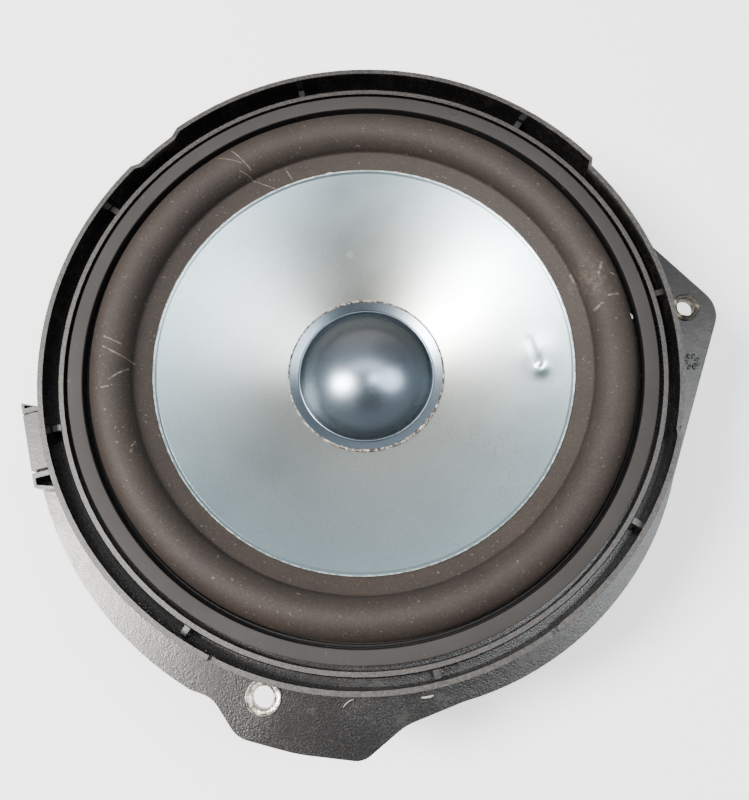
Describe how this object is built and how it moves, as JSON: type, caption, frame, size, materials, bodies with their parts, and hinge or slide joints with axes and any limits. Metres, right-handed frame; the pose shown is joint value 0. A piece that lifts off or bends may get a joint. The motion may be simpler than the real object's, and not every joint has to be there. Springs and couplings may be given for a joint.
{
  "type": "car subwoofer speaker",
  "caption": "Round car subwoofer driver with an aluminium cone, rubber half-roll surround, plastic basket with an ear and a lobe for screws, and a ferrite motor behind.",
  "frame": {"origin": "centre of the motor's rear face, which the driver rests on when it lies face up", "axes": "+Z along the cone's axis towards the front, +X towards the wide mounting ear side, +Y towards the terminal block"},
  "size_m": [0.2278, 0.2261, 0.0744],
  "materials": {
    "basket_plastic": "moulded glass-filled plastic, fine texture, satin where it is worn",
    "trim_plastic": "smooth moulded, matt",
    "surround_rubber": "matt, dusty",
    "spider_cloth": "resin-stiffened woven cloth",
    "gasket_foam": "closed-cell foam",
    "sleeve_steel": "bare, lightly worn",
    "screw_steel": "black zinc",
    "motor_steel": "zinc plated",
    "ferrite": "ground ferrite",
    "screen_mesh": "fine woven screen",
    "terminal_plastic": "moulded, satin",
    "terminal_brass": "tinned brass",
    "lead_copper": "braided tinsel cord",
    "cone_aluminium": "anodised, satin",
    "cap_aluminium": "polished and clear anodised",
    "clear_glue": "hardened glue bead",
    "dark_glue": "hardened glue",
    "former_paper": "aramid paper",
    "winding_copper": "enamelled copper wire",
    "solder_tin": "solder"
  },
  "bodies": {
    "chassis": {"basket_rim": "basket_plastic", "basket_legs": "basket_plastic", "basket_cup": "basket_plastic", "trim_ring": "trim_plastic", "surround": "surround_rubber", "spider": "spider_cloth", "flange_gasket": "gasket_foam", "sleeve_right": "sleeve_steel", "sleeve_bottom": "sleeve_steel", "motor_screws": "screw_steel", "top_plate": "motor_steel", "magnet": "ferrite", "yoke": "motor_steel", "vent_screen": "screen_mesh", "terminal_block": "terminal_plastic", "terminal_positive": "terminal_brass", "terminal_negative": "terminal_brass", "lead_positive": "lead_copper", "lead_negative": "lead_copper"},
    "diaphragm": {"cone": "cone_aluminium", "dust_cap": "cap_aluminium", "cap_adhesive": "clear_glue", "neck_adhesive": "dark_glue", "coil_former": "former_paper", "voice_coil": "winding_copper", "lead_pad_positive": "solder_tin", "lead_pad_negative": "solder_tin"}
  },
  "joints": [
    {"name": "cone_excursion", "type": "slide", "parent": "chassis", "child": "diaphragm", "axis": [0, 0, 1], "range_m": [-0.005, 0.005], "stiffness_N_per_m": 2200, "deforming": ["surround", "spider", "lead_positive", "lead_negative"]}
  ]
}
